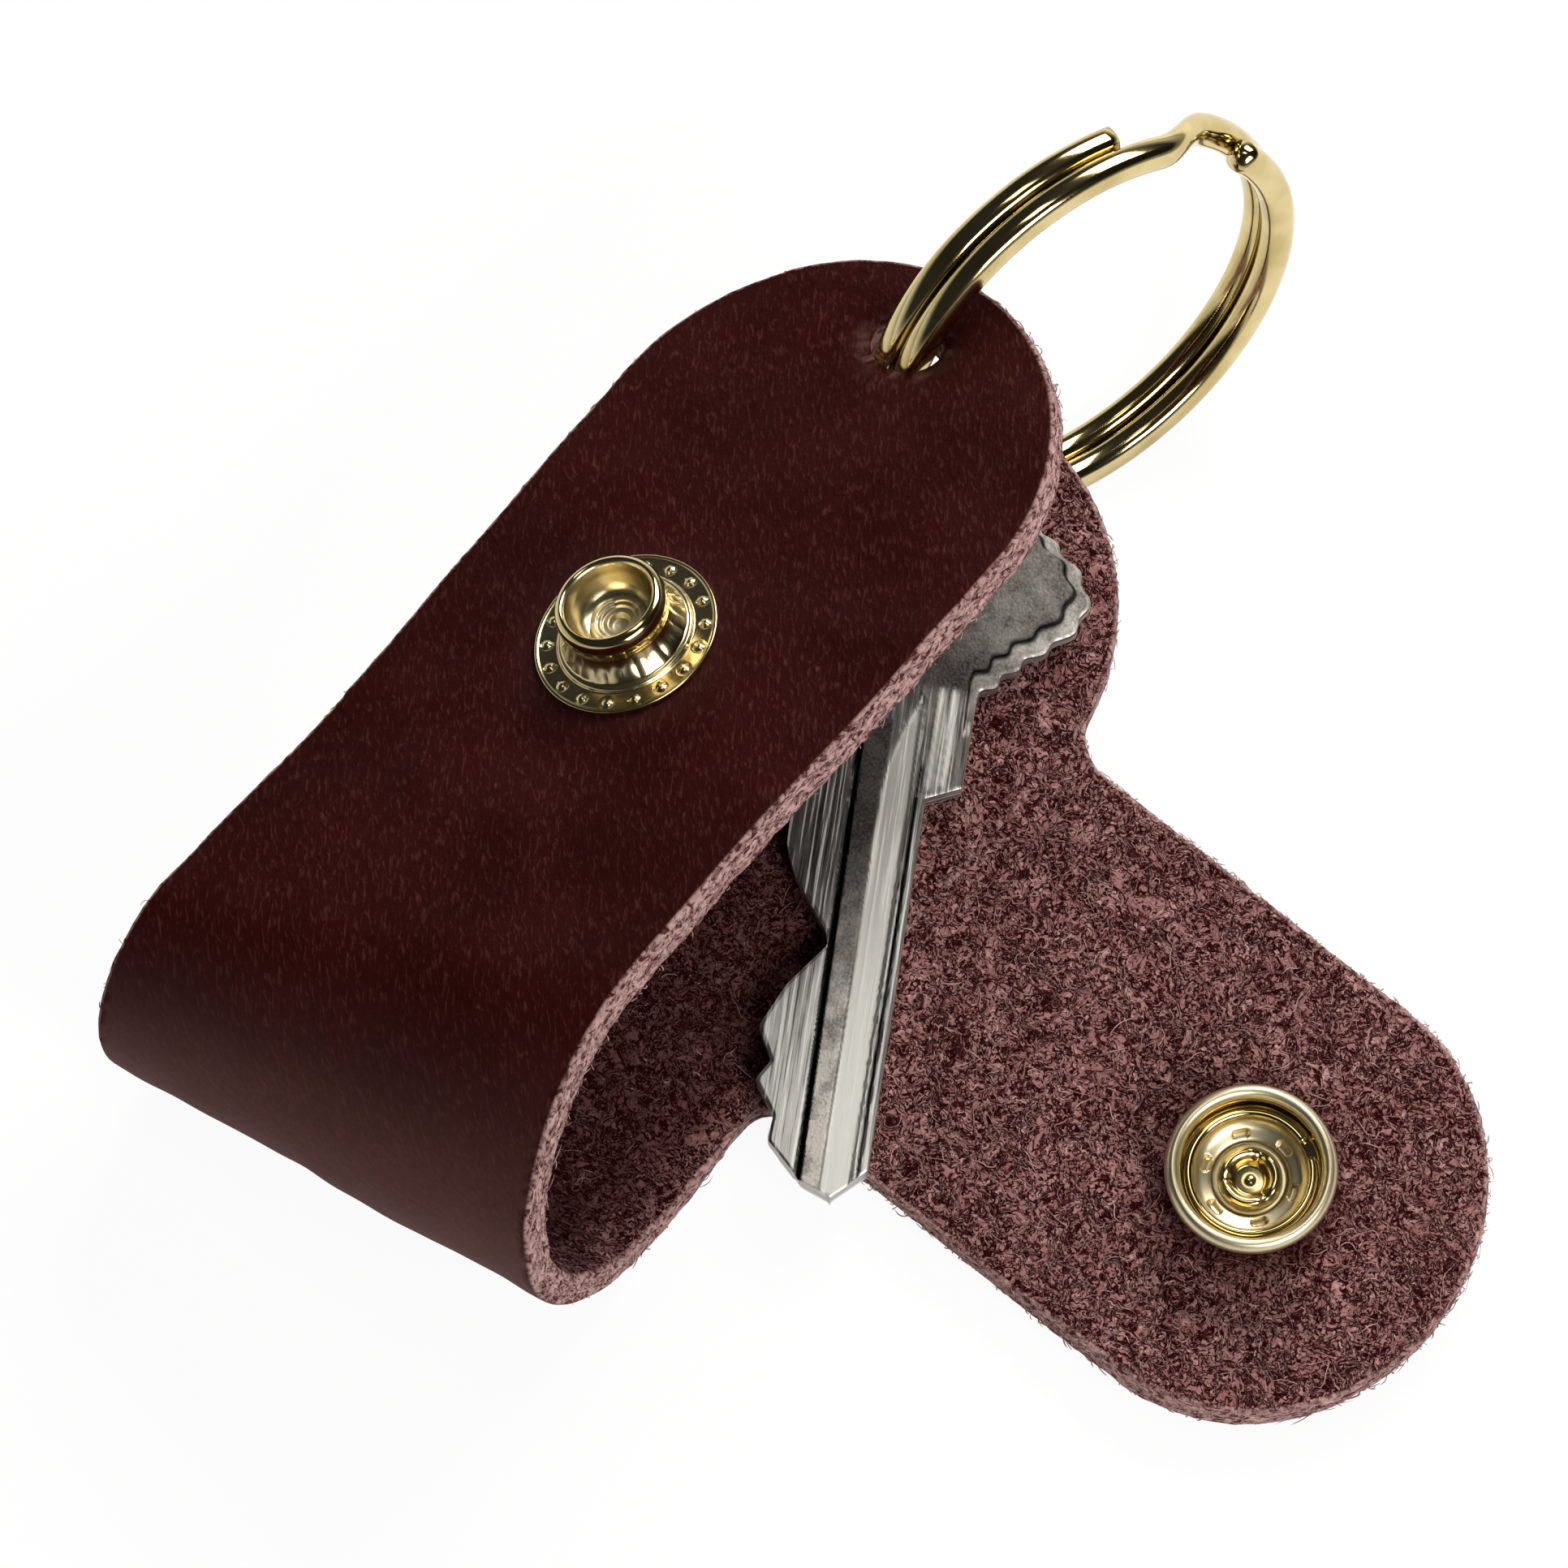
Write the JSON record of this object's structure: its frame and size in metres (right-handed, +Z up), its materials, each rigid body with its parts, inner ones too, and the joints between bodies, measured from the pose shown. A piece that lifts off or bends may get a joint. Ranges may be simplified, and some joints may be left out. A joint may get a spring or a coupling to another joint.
{
  "type": "key cover",
  "caption": "Leather key cover folded in a U, standing open, with a snap tab, a split ring through both heads and a key in its pocket.",
  "frame": {"origin": "middle of the object's bounding box, on the surface that it lies on", "axes": "+Z up from the surface that it lies on, +Y from the fold towards the split ring, +X towards the tab"},
  "size_m": [0.0778, 0.0906, 0.0315],
  "materials": {
    "leather": "waxed burgundy grain",
    "brass": "polished",
    "nickel_silver": "milled"
  },
  "bodies": {
    "back": {"back_panel": "leather", "fold": "leather", "tab_bend": "leather"},
    "front": {"front_panel": "leather", "snap_stud": "brass", "stud_post": "brass"},
    "tab": {"snap_tab": "leather", "snap_socket": "brass", "socket_spring": "brass", "snap_cap": "brass"},
    "ring": {"split_ring": "brass"},
    "key": {"key": "nickel_silver"}
  },
  "joints": [
    {"name": "tab_fold", "type": "hinge", "parent": "back", "child": "tab", "pos_m": [0.00175, -0.00607, 0.00967], "axis": [0.047, -0.9953, -0.0852], "range_deg": [0, 179.8], "deforming": ["tab_bend"]},
    {"name": "front_close", "type": "hinge", "parent": "back", "child": "front", "pos_m": [-0.04977, 0.0006, 0.00596], "axis": [0.1655, 0.9847, 0.0548], "range_deg": [0, 25.93], "deforming": ["fold"]},
    {"name": "ring_follow", "type": "hinge", "parent": "back", "child": "ring", "pos_m": [-0.01807, 0.02136, 0.00534], "axis": [-0.3704, 0.9249, -0.0856], "range_deg": [0, 18.4]},
    {"name": "key_swing", "type": "hinge", "parent": "back", "child": "key", "pos_m": [-0.01997, 0.01733, 0.00791], "axis": [0.0131, -0.0847, 0.9963], "range_deg": [-30, 18]}
  ],
  "couplings": [
    {"joint": "front_close", "follows": "tab_fold", "ratio": 0.14419},
    {"joint": "ring_follow", "follows": "tab_fold", "ratio": 0.10233}
  ]
}
